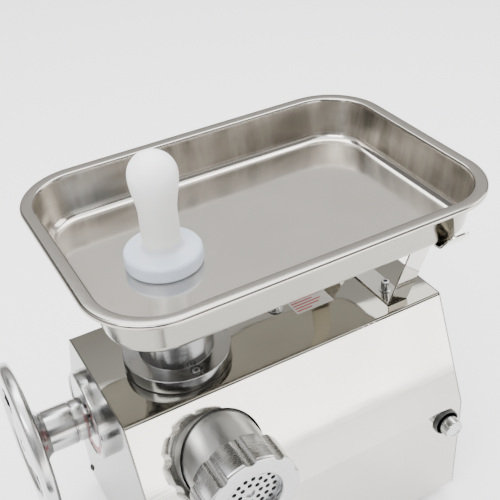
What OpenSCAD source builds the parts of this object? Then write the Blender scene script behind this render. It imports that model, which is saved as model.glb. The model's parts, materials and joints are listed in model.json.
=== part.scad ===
// Countertop electric meat grinder with a lift-off feed tray.
// The origin is on the table, under the middle of the overall box. +Z is up,
// -Y is the outlet side, and -X is the hand wheel's end.

/* [Tray] */
// Length of the tray over its rim
tray_l = 400; // [390:1:404]
// Width of the tray over its rim
tray_w = 280; // [270:1:284]
// Depth of the tray below its rim
tray_d = 46.5; // [45:0.5:50]
// Height of the tray's rim above the table
rim_z = 440; // [440:1:444]
// Outer corner radius of the rim
rim_r = 65; // [60:1:70]
// Width of the flat rim
rim_flat = 13; // [10:1:15]
// Thickness of the tray's sheet
tray_t = 1.5; // [1.2:0.1:2]

/* [Housing] */
// Height of the top plate's upper face above the table
plate_z = 275; // [272:1:276]
// Height of the bend where the side panels turn vertical
bend_z = 153; // [145:1:158]
// Height of the panels' lower edge, which is the height of the feet
base_z = 20; // [16:1:24]
// Thickness of the housing's sheet
sheet_t = 1.5; // [1.2:0.1:2]

/* [Feed neck and pusher] */
// Radius of the throat
throat_r = 26.5; // [26:0.1:27]
// Outer radius of the neck
neck_r = 37.8; // [37:0.1:37.8]
// Radius of the neck's bottom flange
neck_flange_r = 54.5; // [53:0.5:56]
// Thickness of the neck's bottom flange
neck_flange_t = 15.2; // [13:0.1:17]
// Radius of the pusher's disc
pusher_disc_r = 37; // [35:0.5:39]
// Radius of the pusher's hand ball
ball_r = 22.7; // [21:0.1:23]

/* [Barrel and outlet] */
// Height of the worm's axis above the table
worm_z = 212; // [212:1:213]
// Outer radius of the barrel
barrel_r = 43; // [42.5:0.1:43.2]
// Radius of the barrel's bore
bore_r = 30.5; // [30:0.1:31]
// Outer radius of the ring nut
nut_r = 50; // [49:0.5:51]
// Radius of the ring nut's front opening
outlet_r = 31; // [29:0.5:32]

/* [Hand wheel] */
// Radius of the hand wheel
wheel_r = 83; // [76:0.5:84]
// Thickness of the hand wheel's rim along its axis
wheel_t = 14; // [12:1:15]
// Number of windows in the hand wheel
wheel_windows = 5; // [4:1:6]

/* [Gear train] */
// Module of the gears
gear_m = 2; // [2:1:2]
// Teeth of the output gear
output_teeth = 44; // [44:1:44]
// Teeth of the intermediate pinion
mid_pinion_teeth = 16; // [16:1:16]
// Teeth of the intermediate gear
mid_gear_teeth = 40; // [40:1:40]
// Teeth of the motor pinion
motor_pinion_teeth = 14; // [14:1:14]

/* [Hidden] */
// Places across the table
mid_y = 5;              // middle of tray, neck and bracket
tray_x = 31;            // middle of the tray
neck_x = -65;           // throat and worm axis
end_x0 = -151;          // outer face of the left end plate
end_x1 = 218;           // outer face of the rear cover
front_y = -108;         // front panel, below the bend
back_y = 143;           // back panel, below the bend
top_front_y = -57;      // front edge of the top plate
top_back_y = 92;        // back edge of the top plate
gap = 0.3;              // clearance between pieces that come apart
run = 0.05;             // radial running clearance

// Tray
tray_floor_z = rim_z - tray_d;
wall_in = 7;                                    // how far a wall leans in over its height
floor_l = tray_l - 2 * rim_flat - 2 * wall_in;
floor_w = tray_w - 2 * rim_flat - 2 * wall_in;
well_r = rim_r - rim_flat;                      // corner radius at the top of the well
floor_r = 46;                                   // corner radius of the floor
rim_drop = 4;                                   // height of the rim's turned-down edge
spigot_r = 30;
spigot_len = 12;

// Neck
gasket_t = 0.8;
neck_screw_pcr = 44;
neck_screw_angles = [-90, 90];
neck_z0 = plate_z + gasket_t;
neck_z1 = tray_floor_z - tray_t - gap;
recess_z = tray_floor_z - tray_t - spigot_len - gap;
stub_r = 30;
barrel_stub_top = plate_z - sheet_t - 0.5;

// Pusher
pusher_z = tray_floor_z + gap;
pusher_disc_t = 17;
pusher_rod_r = 25;
pusher_rod_z = 268;
ball_z = 485.3;
stem_r = 17.5;

// Tray bracket
strip_w = 25;
strip_t = 2;
strip_x = 170.5;
strip_foot = 50;
strip_top_y = 91.5;
strip_flange_y = 122.5;
strip_z = tray_floor_z - tray_t - gap;
lip_out = 14;
lip_up = 22;
bracket_screw_y = 28;

// Barrel
barrel_y0 = -137;
barrel_shoulder_y = 34;
barrel_y1 = 58;
tail_r = 36;
seat_r = 35;
seat_len = 8;
knife_len = 7;
bush_r = 16;
worm_r = bore_r - 0.5;
shank_r = 12;
shank_sq = 14;
nut_y0 = -145;
nut_y1 = -110;
pin_r = 2;

// Gearbox
wheel_y = 41;                       // hand wheel axis
box_y0 = 60;
box_y1 = 90;
box_wall = 3.5;
box_lid_t = 3;
shaft_r = 14;
bearing_r = 21;
bearing_y0 = box_y0 + 4;
bearing_t = 10;
output_y0 = 75;
output_t = 8;
mid_y0 = 84;
mid_t = 5.5;
mid_x = neck_x + 52;
mid_z = worm_z - 29.9;
motor_x = mid_x + 46;
motor_z = mid_z - 28.3;
mid_shaft_r = 6;
motor_shaft_r = 6;

// Motor
motor_r = 60;
shell_y0 = -48;
shell_y1 = 50;
cowl_y0 = -74;

// Hand wheel's clamp, measured outwards along -X from the end plate
boss_r = 48;
boss_len = 12;
boss_floor = 10.5;
boss_ring_r = 44;
sleeve_r = 22.5;
sleeve_x0 = -205;
journal_r = 12;
clamp_pin_r = 6;
rim_x = -224;                       // middle plane of the rim
guide_x1 = -119;

// Selector switch
switch_x = 196;
switch_z = 135;
gland_z = 52;

// Details of the top plate
bolt_x = 55;
bolt_y = 16;
bolt_r = 4;

// ---- Shared shapes ----

// A rectangle with rounded corners, centred on the origin
module round_rect(l, w, r) {
    square([l - 2 * r, w], center = true);
    square([l, w - 2 * r], center = true);
    for (sx = [-1, 1], sy = [-1, 1])
        translate([sx * (l / 2 - r), sy * (w / 2 - r)]) circle(r = r, $fn = 64);
}

// Places children with their own +Z pointing along +Y
module along_y(x, y, z) {
    translate([x, y, z]) rotate([-90, 0, 0]) children();
}

// Places children with their own +Z pointing along +X
module along_x(x, y, z) {
    translate([x, y, z]) rotate([0, 90, 0]) children();
}

// A plain tube standing on the origin
module tube(r_out, r_in, h) {
    difference() {
        cylinder(h = h, r = r_out, $fn = 96);
        translate([0, 0, -1]) cylinder(h = h + 2, r = r_in, $fn = 96);
    }
}

// A cap screw with a hexagon socket: the head stands on the origin, the shank hangs below
module cap_screw(head_r, head_h, shank_r, shank_l) {
    difference() {
        union() {
            cylinder(h = head_h, r = head_r, $fn = 48);
            translate([0, 0, -shank_l]) cylinder(h = shank_l + 1, r = shank_r, $fn = 32);
        }
        translate([0, 0, head_h * 0.45]) cylinder(h = head_h, r = head_r * 0.52, $fn = 6);
    }
}

// A domed screw: the head stands on the origin, the shank hangs below
module pan_screw(head_r, head_h, shank_r, shank_l) {
    difference() {
        union() {
            rotate_extrude($fn = 48)
                intersection() {
                    translate([0, head_h - head_r * 1.25]) circle(r = head_r * 1.25, $fn = 64);
                    square([head_r, head_h]);
                }
            translate([0, 0, -shank_l]) cylinder(h = shank_l + 0.5, r = shank_r, $fn = 32);
        }
        for (a = [0, 90])
            rotate(a) translate([-head_r * 0.6, -head_r * 0.12, head_h * 0.5])
                cube([head_r * 1.2, head_r * 0.24, head_h]);
    }
}

// One spur gear from z = 0 to t: straight-flanked teeth with backlash on a round root
module spur_gear(teeth, t, bore, phase = 0) {
    pitch_r = gear_m * teeth / 2;
    tip_r = pitch_r + gear_m * 0.9;
    root_r = pitch_r - gear_m * 1.2;
    half_pitch = 90 / teeth;                    // half a tooth's angle at the pitch circle
    slack = 0.22 / pitch_r * 180 / PI;
    difference() {
        union() {
            cylinder(h = t, r = root_r, $fn = 96);
            for (i = [0 : teeth - 1])
                rotate(phase + i * 360 / teeth)
                    linear_extrude(t)
                        polygon([
                            for (p = [[root_r - 0.5, 1.50], [pitch_r, 1], [tip_r, 0.42]])
                                p[0] * [cos(half_pitch * p[1] - slack), sin(half_pitch * p[1] - slack)],
                            for (p = [[tip_r, 0.42], [pitch_r, 1], [root_r - 0.5, 1.50]])
                                p[0] * [cos(half_pitch * p[1] - slack), -sin(half_pitch * p[1] - slack)]
                        ]);
        }
        translate([0, 0, -1]) cylinder(h = t + 2, r = bore, $fn = 64);
    }
}

// Angle in the gears' own plane from one shaft to the next, as seen along +Y
function mesh_angle(dx, dz) = atan2(-dz, dx);

// ---- Housing ----

// The housing's cross-section in Y and Z
function housing_outline(d) = [
    [front_y + d, base_z], [front_y + d, bend_z], [top_front_y + d, plate_z - d],
    [top_back_y - d, plate_z - d], [back_y - d, bend_z], [back_y - d, base_z]];

// Extrudes a Y-Z outline along X
module along_housing(x0, x1) {
    translate([x0, 0, 0]) rotate([90, 0, 90]) linear_extrude(x1 - x0) children();
}

// A side panel's section: sloped above the bend, upright below it
module side_section(top_y, low_y, inward) {
    slope = (top_y - low_y) / (plate_z - bend_z);
    wall = inward * sheet_t * sqrt(1 + slope * slope);
    top = plate_z - sheet_t - 0.8;
    top_edge = top_y - slope * (plate_z - top);
    polygon([[low_y, base_z], [low_y, bend_z], [top_edge, top], [top_edge + wall, top],
        [low_y + inward * sheet_t, bend_z], [low_y + inward * sheet_t, base_z]]);
}

module top_plate() {
    flange_h = 7;                       // stiffening flanges under the plate
    color("gainsboro")
    difference() {
        union() {
            translate([end_x0 + sheet_t, top_front_y, plate_z - sheet_t])
                cube([end_x1 - end_x0 - 2 * sheet_t, top_back_y - top_front_y, sheet_t]);
            for (y = [top_front_y + 3, top_back_y - 3 - sheet_t])
                translate([end_x0 + sheet_t, y, plate_z - flange_h])
                    cube([end_x1 - end_x0 - 2 * sheet_t, sheet_t, flange_h - sheet_t]);
        }
        translate([neck_x, mid_y, plate_z - 20]) cylinder(h = 30, r = throat_r, $fn = 96);
        for (a = neck_screw_angles)
            translate([neck_x + neck_screw_pcr * cos(a), mid_y + neck_screw_pcr * sin(a), plate_z - 4])
                cylinder(h = 10, r = 3, $fn = 32);
        for (s = [-1, 1])
            translate([strip_x, mid_y + s * bracket_screw_y, plate_z - 4])
                cylinder(h = 10, r = 2.5, $fn = 32);
        translate([bolt_x, bolt_y, plate_z - 4]) cylinder(h = 10, r = bolt_r, $fn = 32);
    }
}

module front_panel() {
    color("silver")
    difference() {
        along_housing(end_x0 + sheet_t, end_x1 - sheet_t) side_section(top_front_y, front_y, 1);
        along_y(neck_x, front_y - 10, worm_z) cylinder(h = 80, r = barrel_r + 2, $fn = 96);
        along_y(switch_x, front_y - 10, switch_z) cylinder(h = 20, r = 10.5, $fn = 48);
    }
}

module back_panel() {
    color("silver")
    along_housing(end_x0 + sheet_t, end_x1 - sheet_t) side_section(top_back_y, back_y, -1);
}

module left_end_plate() {
    color("lightgray")
    difference() {
        along_housing(end_x0, end_x0 + sheet_t) polygon(housing_outline(0));
        along_x(end_x0 - 5, wheel_y, worm_z) cylinder(h = 10, r = journal_r + 1, $fn = 64);
        for (p = cover_screw_spots)
            along_x(end_x0 - 5, p[0], p[1]) cylinder(h = 10, r = 2, $fn = 24);
    }
}

cover_screw_spots = [[front_y + 22, bend_z + 8], [back_y - 22, bend_z + 8],
    [front_y + 10, base_z + 14], [back_y - 10, base_z + 14]];

module rear_cover() {
    vent_l = 46;
    color("lightgray")
    difference() {
        along_housing(end_x1 - sheet_t, end_x1) polygon(housing_outline(0));
        for (row = [0 : 8], y = [mid_y - 28, mid_y + 62])
            translate([end_x1 - 5, y - vent_l / 2, 92 + row * 12])
                cube([10, vent_l, 4]);
        for (p = cover_screw_spots)
            along_x(end_x1 - 5, p[0], p[1]) cylinder(h = 10, r = 2, $fn = 24);
        along_x(end_x1 - 5, back_y - 38, gland_z) cylinder(h = 10, r = 8, $fn = 48);
    }
}

module cover_screws() {
    color("dimgray")
    for (p = cover_screw_spots)
        along_x(end_x1, p[0], p[1]) pan_screw(4.5, 2.6, 2, 9);
}

module end_plate_screws() {
    color("dimgray")
    for (p = cover_screw_spots)
        translate([end_x0, p[0], p[1]]) rotate([0, -90, 0]) pan_screw(4.5, 2.6, 2, 9);
}

foot_spots = [for (x = [end_x0 + 34, end_x1 - 34], y = [front_y + 32, back_y - 32]) [x, y]];

module base_plate() {
    color("silver")
    difference() {
        translate([end_x0 + sheet_t, front_y + sheet_t, base_z])
            cube([end_x1 - end_x0 - 2 * sheet_t, back_y - front_y - 2 * sheet_t, 2]);
        for (p = foot_spots)
            translate([p[0], p[1], base_z - 5]) cylinder(h = 10, r = 3, $fn = 32);
    }
}

module rubber_feet() {
    color("#2b2b2b")
    for (p = foot_spots)
        translate([p[0], p[1], 0])
            rotate_extrude($fn = 64)
                polygon([[8, 0], [15, 0], [17, 1.5], [20, base_z], [3, base_z], [3, 10], [8, 10]]);
}

module foot_screws() {
    color("darkgray")
    for (p = foot_spots)
        translate([p[0], p[1], 10]) rotate([180, 0, 0]) cap_screw(6, 4, 3, 18);
}

module domed_bolt() {
    color("silver")
    translate([bolt_x, bolt_y, plate_z]) {
        tube(8.5, bolt_r, 1.4);
        translate([0, 0, 1.4]) pan_screw(6.5, 5, bolt_r, 16);
    }
}

module info_label() {
    color("whitesmoke")
    translate([93, 7, plate_z])
        linear_extrude(0.3) round_rect(46, 25, 1.5);
}

// ---- Feed neck ----

module neck_gasket() {
    color("#333333")
    translate([neck_x, mid_y, plate_z])
        difference() {
            tube(neck_flange_r - 0.6, throat_r, gasket_t);
            for (a = neck_screw_angles)
                rotate(a) translate([neck_screw_pcr, 0, -1]) cylinder(h = 4, r = 3, $fn = 32);
        }
}

module feed_neck() {
    chamfer = 0.8;
    color("silver")
    translate([neck_x, mid_y, 0])
        difference() {
            rotate_extrude($fn = 128)
                polygon([[throat_r, neck_z0], [neck_flange_r - chamfer, neck_z0],
                    [neck_flange_r, neck_z0 + chamfer],
                    [neck_flange_r, neck_z0 + neck_flange_t - chamfer],
                    [neck_flange_r - chamfer, neck_z0 + neck_flange_t],
                    [neck_r, neck_z0 + neck_flange_t], [neck_r, neck_z1],
                    [spigot_r + 0.08, neck_z1], [spigot_r + 0.08, recess_z], [throat_r, recess_z]]);
            for (a = neck_screw_angles)
                rotate(a) translate([neck_screw_pcr, 0, neck_z0 - 1]) {
                    cylinder(h = neck_flange_t + 2, r = 3, $fn = 32);
                    translate([0, 0, neck_flange_t - 7]) cylinder(h = 20, r = 6, $fn = 48);
                }
        }
}

module neck_screws() {
    color("gray")
    translate([neck_x, mid_y, neck_z0 + neck_flange_t - 8])
        for (a = neck_screw_angles)
            rotate(a) translate([neck_screw_pcr, 0, 0]) cap_screw(5, 6, 3, 20);
}

module neck_backing_ring() {
    color("darkgray")
    translate([neck_x, mid_y, plate_z - sheet_t - 8])
        difference() {
            tube(neck_flange_r, stub_r + 1.5, 8);
            for (a = neck_screw_angles)
                rotate(a) translate([neck_screw_pcr, 0, -1]) cylinder(h = 10, r = 3, $fn = 32);
        }
}

// ---- Tray ----

module tray() {
    color("#c9c6c0")
    difference() {
        translate([tray_x, mid_y, 0]) {
            difference() {
                union() {
                    translate([0, 0, rim_z - tray_t])
                        linear_extrude(tray_t) round_rect(tray_l, tray_w, rim_r);
                    hull() {
                        translate([0, 0, rim_z - tray_t])
                            linear_extrude(0.1) round_rect(tray_l - 2 * rim_flat + 2 * tray_t,
                                tray_w - 2 * rim_flat + 2 * tray_t, well_r);
                        translate([0, 0, tray_floor_z - tray_t])
                            linear_extrude(0.1) round_rect(floor_l, floor_w, floor_r);
                    }
                }
                hull() {
                    translate([0, 0, rim_z])
                        linear_extrude(0.1) round_rect(tray_l - 2 * rim_flat,
                            tray_w - 2 * rim_flat, well_r);
                    translate([0, 0, tray_floor_z])
                        linear_extrude(0.1) round_rect(floor_l, floor_w, floor_r);
                }
            }
            translate([0, 0, rim_z - rim_drop])
                linear_extrude(rim_drop)
                    difference() {
                        round_rect(tray_l, tray_w, rim_r);
                        round_rect(tray_l - 2 * tray_t, tray_w - 2 * tray_t, rim_r - tray_t);
                    }
        }
        translate([neck_x, mid_y, tray_floor_z - 10]) cylinder(h = 20, r = spigot_r, $fn = 96);
    }
}

module tray_spigot() {
    color("silver")
    translate([neck_x, mid_y, recess_z + gap])
        tube(spigot_r, throat_r, spigot_len + tray_t);
}

module pusher() {
    color("#eef1f5")
    translate([neck_x, mid_y, 0])
        rotate_extrude($fn = 96)
            intersection() {
                union() {
                    translate([0, ball_z]) circle(r = ball_r, $fn = 96);
                    polygon([[0, pusher_z + 5], [stem_r + 1, pusher_z + 5], [stem_r, pusher_z + 40],
                        [ball_r - 1, ball_z - 6], [0, ball_z]]);
                    polygon([[0, pusher_z], [pusher_disc_r - 3, pusher_z],
                        [pusher_disc_r, pusher_z + 3], [pusher_disc_r, pusher_z + 12],
                        [pusher_disc_r - 5, pusher_z + pusher_disc_t],
                        [stem_r + 5, pusher_z + pusher_disc_t + 1.5],
                        [stem_r + 0.5, pusher_z + pusher_disc_t + 8], [0, pusher_z + 30]]);
                    polygon([[0, pusher_rod_z], [pusher_rod_r - 2, pusher_rod_z],
                        [pusher_rod_r, pusher_rod_z + 2], [pusher_rod_r, pusher_z + 2],
                        [0, pusher_z + 2]]);
                }
                translate([0, pusher_rod_z - 1]) square([pusher_disc_r + 5, 400]);
            }
}

// One half of the bracket strip's section, from the middle out towards +Y
module strip_half() {
    polygon([[0, plate_z], [strip_foot, plate_z], [strip_top_y, strip_z - strip_t],
        [strip_flange_y, strip_z - strip_t], [strip_flange_y, strip_z],
        [strip_top_y - 1.5, strip_z], [strip_foot - 1.5, plate_z + strip_t], [0, plate_z + strip_t]]);
}

// The flared lip beyond the bracket's flange, with a round end
module strip_lip() {
    lip_len = sqrt(lip_out * lip_out + lip_up * lip_up);
    translate([0, strip_flange_y - 0.6, strip_z - strip_t])
        rotate([atan2(lip_up, lip_out), 0, 0])
            linear_extrude(strip_t) {
                translate([-strip_w / 2, 0]) square([strip_w, lip_len - strip_w / 2]);
                translate([0, lip_len - strip_w / 2]) circle(r = strip_w / 2, $fn = 48);
            }
}

module tray_bracket() {
    color("silver")
    difference() {
        for (side = [0, 1])
            translate([strip_x, mid_y, 0]) mirror([0, side, 0]) {
                translate([-strip_w / 2, 0, 0])
                    rotate([90, 0, 90]) linear_extrude(strip_w) strip_half();
                strip_lip();
            }
        for (s = [-1, 1])
            translate([strip_x, mid_y + s * bracket_screw_y, plate_z - 4])
                cylinder(h = 10, r = 2.5, $fn = 32);
    }
}

module bracket_screws() {
    color("gray")
    for (s = [-1, 1])
        translate([strip_x, mid_y + s * bracket_screw_y, plate_z + strip_t])
            cap_screw(4.5, 12, 2.5, 12);
}

// ---- Barrel, worm and outlet ----

module barrel() {
    color("lightsteelblue")
    difference() {
        union() {
            along_y(neck_x, barrel_y0, worm_z)
                cylinder(h = barrel_shoulder_y - barrel_y0, r = barrel_r, $fn = 128);
            along_y(neck_x, barrel_shoulder_y - 1, worm_z)
                cylinder(h = barrel_y1 - barrel_shoulder_y + 1, r = tail_r, $fn = 128);
            translate([neck_x, mid_y, worm_z])
                cylinder(h = barrel_stub_top - worm_z, r = stub_r, $fn = 96);
        }
        along_y(neck_x, barrel_y0 - 1, worm_z) cylinder(h = 42 - barrel_y0, r = bore_r, $fn = 128);
        along_y(neck_x, barrel_y0 - 1, worm_z) cylinder(h = seat_len + 1, r = seat_r, $fn = 128);
        along_y(neck_x, 30, worm_z) cylinder(h = 60, r = bush_r, $fn = 64);
        along_y(neck_x, barrel_y0 - 1, worm_z + seat_r) cylinder(h = 15, r = pin_r, $fn = 32);
        translate([neck_x, mid_y, worm_z]) cylinder(h = 100, r = throat_r, $fn = 96);
    }
}

module barrel_saddle() {
    saddle_t = 10;
    color("darkgray")
    difference() {
        translate([neck_x - 52, -72, base_z + 2]) cube([86, saddle_t, worm_z - base_z - 10]);
        along_y(neck_x, -80, worm_z) cylinder(h = 40, r = barrel_r, $fn = 96);
        translate([neck_x - 34, -80, base_z + 20]) cube([50, 40, 90]);
    }
}

module worm_bush() {
    color("#c79a4a")
    along_y(neck_x, 41, worm_z) tube(bush_r, shank_r + run, 16);
}

module worm() {
    flight_y0 = barrel_y0 + seat_len + knife_len + 2;
    flight_y1 = 40;
    color("slategray") {
        along_y(neck_x, flight_y0, worm_z)
            cylinder(h = flight_y1 - flight_y0, r = 11, $fn = 64);
        along_y(neck_x, barrel_y0 + 2, worm_z) cylinder(h = 60, r = 5, $fn = 48);
        along_y(neck_x, flight_y0, worm_z)
            linear_extrude(flight_y1 - flight_y0, twist = -360 * 3.5, slices = 56)
                polygon([[0, -9], [worm_r - 1, -3.5], [worm_r, 0], [worm_r - 1, 3.5], [0, 9]]);
        along_y(neck_x, flight_y1 - 1, worm_z) cylinder(h = 18, r = shank_r, $fn = 64);
        translate([neck_x - shank_sq / 2, 55, worm_z - shank_sq / 2])
            cube([shank_sq, 17, shank_sq]);
    }
}

module knife() {
    color("silver")
    along_y(neck_x, barrel_y0 + seat_len + 0.2, worm_z)
        difference() {
            union() {
                cylinder(h = knife_len, r = 13, $fn = 64);
                for (i = [0 : 3])
                    rotate(i * 90) translate([-5, 0, 0]) cube([10, 29, knife_len]);
            }
            translate([0, 0, -1]) cylinder(h = knife_len + 2, r = 5, $fn = 48);
        }
}

module hole_plate() {
    hole_r = 2.5;
    color("lightgray")
    along_y(neck_x, barrel_y0, worm_z)
        difference() {
            cylinder(h = seat_len, r = seat_r - 0.1, $fn = 128);
            translate([0, 0, -1]) cylinder(h = seat_len + 2, r = 5 + run, $fn = 48);
            translate([0, -seat_r, -1]) cylinder(h = seat_len + 2, r = pin_r + 0.2, $fn = 32);
            for (ring = [0 : 2])
                for (i = [0 : 7 + ring * 6])
                    rotate(i * 360 / (8 + ring * 6)) translate([11 + ring * 7.5, 0, -1])
                        cylinder(h = seat_len + 2, r = hole_r, $fn = 24);
        }
}

module locating_pin() {
    color("gray")
    along_y(neck_x, barrel_y0 + 1, worm_z + seat_r) cylinder(h = 12, r = pin_r, $fn = 32);
}

module ring_nut() {
    lip_y = barrel_y0 - gap - nut_y0;
    color("silver")
    along_y(neck_x, nut_y0, worm_z)
        difference() {
            rotate_extrude($fn = 128)
                polygon([[outlet_r, 2], [outlet_r + 2, 0], [nut_r - 3, 0], [nut_r, 3],
                    [nut_r, nut_y1 - nut_y0 - 2], [nut_r - 2, nut_y1 - nut_y0],
                    [barrel_r + run, nut_y1 - nut_y0], [barrel_r + run, lip_y], [outlet_r, lip_y]]);
            for (i = [0 : 9])
                rotate(i * 36 + 18) translate([nut_r + 4, 0, -1]) cylinder(h = 60, r = 8, $fn = 48);
        }
}

// ---- Gearbox ----

// The gearbox's outline round its three shafts, grown by d
module box_outline(d) {
    hull() {
        translate([neck_x, -worm_z]) circle(r = 47.5 + d, $fn = 72);
        translate([mid_x, -mid_z]) circle(r = 43.5 + d, $fn = 72);
        translate([motor_x, -motor_z]) circle(r = 34 + d, $fn = 72);
    }
}

box_screw_spots = [[neck_x, worm_z - 56], [neck_x - 45, worm_z + 34], [neck_x + 27, worm_z + 48],
    [mid_x - 28, mid_z - 44], [mid_x + 34, mid_z + 37], [motor_x + 37, motor_z - 12]];

// Ears that carry the gearbox's cover screws
module box_ears(r) {
    for (p = box_screw_spots) translate([p[0], -p[1]]) circle(r = r, $fn = 32);
}

module gearbox_body() {
    socket_len = 12;
    color("darkgray")
    difference() {
        union() {
            along_y(0, box_y0, 0) linear_extrude(box_y1 - box_y0) {
                box_outline(box_wall);
                box_ears(6.5);
            }
            along_y(neck_x, box_y0 - socket_len, worm_z)
                cylinder(h = socket_len + 1, r = 47, $fn = 96);
            translate([mid_x - 45, box_y0, base_z + 2]) cube([110, 6, 110]);
        }
        along_y(0, box_y0 + 4, 0) linear_extrude(40)
            difference() {
                box_outline(0);
                box_ears(6.5);
            }
        along_y(neck_x, box_y0 - socket_len - 1, worm_z)
            cylinder(h = socket_len + 1, r = tail_r, $fn = 96);
        along_y(neck_x, box_y0 - 5, worm_z) cylinder(h = 20, r = bearing_r, $fn = 96);
        along_y(mid_x, box_y0 + 0.4, mid_z) cylinder(h = 12, r = mid_shaft_r + run, $fn = 48);
        along_y(motor_x, box_y0 - 5, motor_z) cylinder(h = 20, r = 20, $fn = 64);
        for (p = box_screw_spots)
            along_y(p[0], box_y1 - 14, p[1]) cylinder(h = 20, r = 2, $fn = 24);
    }
    color("darkgray")
    along_y(neck_x, bearing_y0 - 0.5, worm_z) tube(bearing_r + 3, bearing_r, bearing_t + 0.5);
    color("darkgray")
    along_y(mid_x, box_y0 + 3.5, mid_z) tube(10, mid_shaft_r + run, 9);
}

module gearbox_cover() {
    color("darkgray")
    difference() {
        along_y(0, box_y1, 0) linear_extrude(box_lid_t) {
            box_outline(box_wall);
            box_ears(6.5);
        }
        for (p = box_screw_spots)
            along_y(p[0], box_y1 - 1, p[1]) cylinder(h = 10, r = 2, $fn = 24);
        along_y(mid_x, box_y1 - 1, mid_z) cylinder(h = 2.5, r = mid_shaft_r + run, $fn = 48);
    }
}

module gearbox_screws() {
    color("dimgray")
    for (p = box_screw_spots)
        along_y(p[0], box_y1 + box_lid_t, p[1]) cap_screw(3.5, 1.6, 2, 12);
}

module oil_seal() {
    color("#3a2b22")
    along_y(neck_x, box_y0 + 0.5, worm_z) tube(bearing_r, shaft_r + run, 3.5);
}

module output_bearing() {
    color("gainsboro")
    along_y(neck_x, bearing_y0, worm_z) tube(bearing_r, shaft_r + run, bearing_t);
}

module output_shaft() {
    color("lightgray")
    difference() {
        along_y(neck_x, barrel_y1 + 1, worm_z) cylinder(h = 30, r = shaft_r, $fn = 96);
        translate([neck_x - shank_sq / 2 - 0.1, barrel_y1, worm_z - shank_sq / 2 - 0.1])
            cube([shank_sq + 0.2, 15, shank_sq + 0.2]);
    }
}

module output_gear() {
    color("#b9b9b9")
    along_y(neck_x, output_y0, worm_z)
        spur_gear(output_teeth, output_t, shaft_r, mesh_angle(mid_x - neck_x, mid_z - worm_z));
}

module intermediate_shaft() {
    color("lightgray")
    along_y(mid_x, box_y0 + 0.5, mid_z)
        cylinder(h = box_y1 + 1 - box_y0 - 0.5, r = mid_shaft_r, $fn = 64);
}

module intermediate_gear() {
    to_worm = mesh_angle(neck_x - mid_x, worm_z - mid_z);
    to_motor = mesh_angle(motor_x - mid_x, motor_z - mid_z);
    color("#c9c9c9") {
        along_y(mid_x, output_y0 - 0.5, mid_z)
            spur_gear(mid_pinion_teeth, mid_y0 - output_y0 + 0.5, mid_shaft_r,
                to_worm + 180 / mid_pinion_teeth);
        along_y(mid_x, mid_y0, mid_z)
            spur_gear(mid_gear_teeth, mid_t, mid_shaft_r, to_motor);
    }
}

module motor_pinion() {
    to_mid = mesh_angle(mid_x - motor_x, mid_z - motor_z);
    color("#a9a9a9")
    along_y(motor_x, mid_y0, motor_z)
        spur_gear(motor_pinion_teeth, mid_t, motor_shaft_r, to_mid + 180 / motor_pinion_teeth);
}

// ---- Motor ----

module motor_shaft() {
    color("lightgray")
    along_y(motor_x, -70, motor_z) cylinder(h = 159, r = motor_shaft_r, $fn = 64);
}

module motor_bearings() {
    color("gainsboro")
    for (y = [-55, 50]) along_y(motor_x, y, motor_z) tube(16, motor_shaft_r + run, 8);
}

module rotor() {
    color("#8d8d95")
    along_y(motor_x, -32, motor_z) tube(31.5, motor_shaft_r, 64);
}

module stator() {
    color("#b87333")
    along_y(motor_x, -38, motor_z) tube(motor_r - 3, 33, 76);
}

module motor_shell() {
    color("steelblue")
    along_y(motor_x, shell_y0, motor_z) tube(motor_r, motor_r - 3, shell_y1 - shell_y0);
}

module drive_end_shield() {
    color("gray")
    along_y(motor_x, shell_y1, motor_z)
        difference() {
            cylinder(h = box_y0 - shell_y1, r = motor_r, $fn = 128);
            translate([0, 0, -1]) cylinder(h = 9, r = 16, $fn = 64);
            translate([0, 0, -1]) cylinder(h = 20, r = motor_shaft_r + 1, $fn = 48);
        }
}

module fan_end_shield() {
    color("gray")
    along_y(motor_x, shell_y0 - 8, motor_z)
        difference() {
            cylinder(h = 8, r = motor_r - 1.6, $fn = 128);
            translate([0, 0, 1]) cylinder(h = 10, r = 16, $fn = 64);
            translate([0, 0, -1]) cylinder(h = 20, r = motor_shaft_r + 1, $fn = 48);
        }
}

module fan() {
    blades = 8;
    color("#3b3f46")
    along_y(motor_x, -69, motor_z)
        difference() {
            union() {
                cylinder(h = 11, r = 11, $fn = 48);
                cylinder(h = 1.6, r = 50, $fn = 96);
                for (i = [0 : blades - 1])
                    rotate(i * 360 / blades) translate([9, -1, 0]) cube([41, 2, 11]);
            }
            translate([0, 0, -1]) cylinder(h = 20, r = motor_shaft_r, $fn = 48);
        }
}

module fan_cowl() {
    color("#4a4f57")
    along_y(motor_x, cowl_y0, motor_z)
        difference() {
            cylinder(h = shell_y0 - cowl_y0, r = motor_r, $fn = 128);
            translate([0, 0, 1.6]) cylinder(h = 60, r = motor_r - 1.6, $fn = 128);
            for (i = [0 : 11])
                rotate(i * 30) translate([34, 0, -1]) cylinder(h = 5, r = 5, $fn = 32);
        }
}

module motor_cradle() {
    color("dimgray")
    difference() {
        translate([motor_x - 38, -30, base_z + 2]) cube([76, 60, 98]);
        along_y(motor_x, -40, motor_z) cylinder(h = 80, r = motor_r, $fn = 128);
        translate([motor_x - 32, -40, base_z + 8]) cube([64, 80, 50]);
    }
}

module capacitor() {
    color("#d9d9d2")
    translate([150, 20, base_z + 2]) cylinder(h = 70, r = 20, $fn = 64);
}

// ---- Hand wheel and clamp ----

module clamp_boss() {
    color("silver")
    translate([end_x0, wheel_y, worm_z]) rotate([0, -90, 0])
        rotate_extrude($fn = 128)
            polygon([[journal_r + run, 0], [boss_r, 0], [boss_r, boss_len - 2],
                [boss_r - 2, boss_len], [boss_ring_r + 1, boss_len], [boss_ring_r, boss_len - 1],
                [boss_ring_r, boss_floor], [journal_r + run, boss_floor]]);
}

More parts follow.
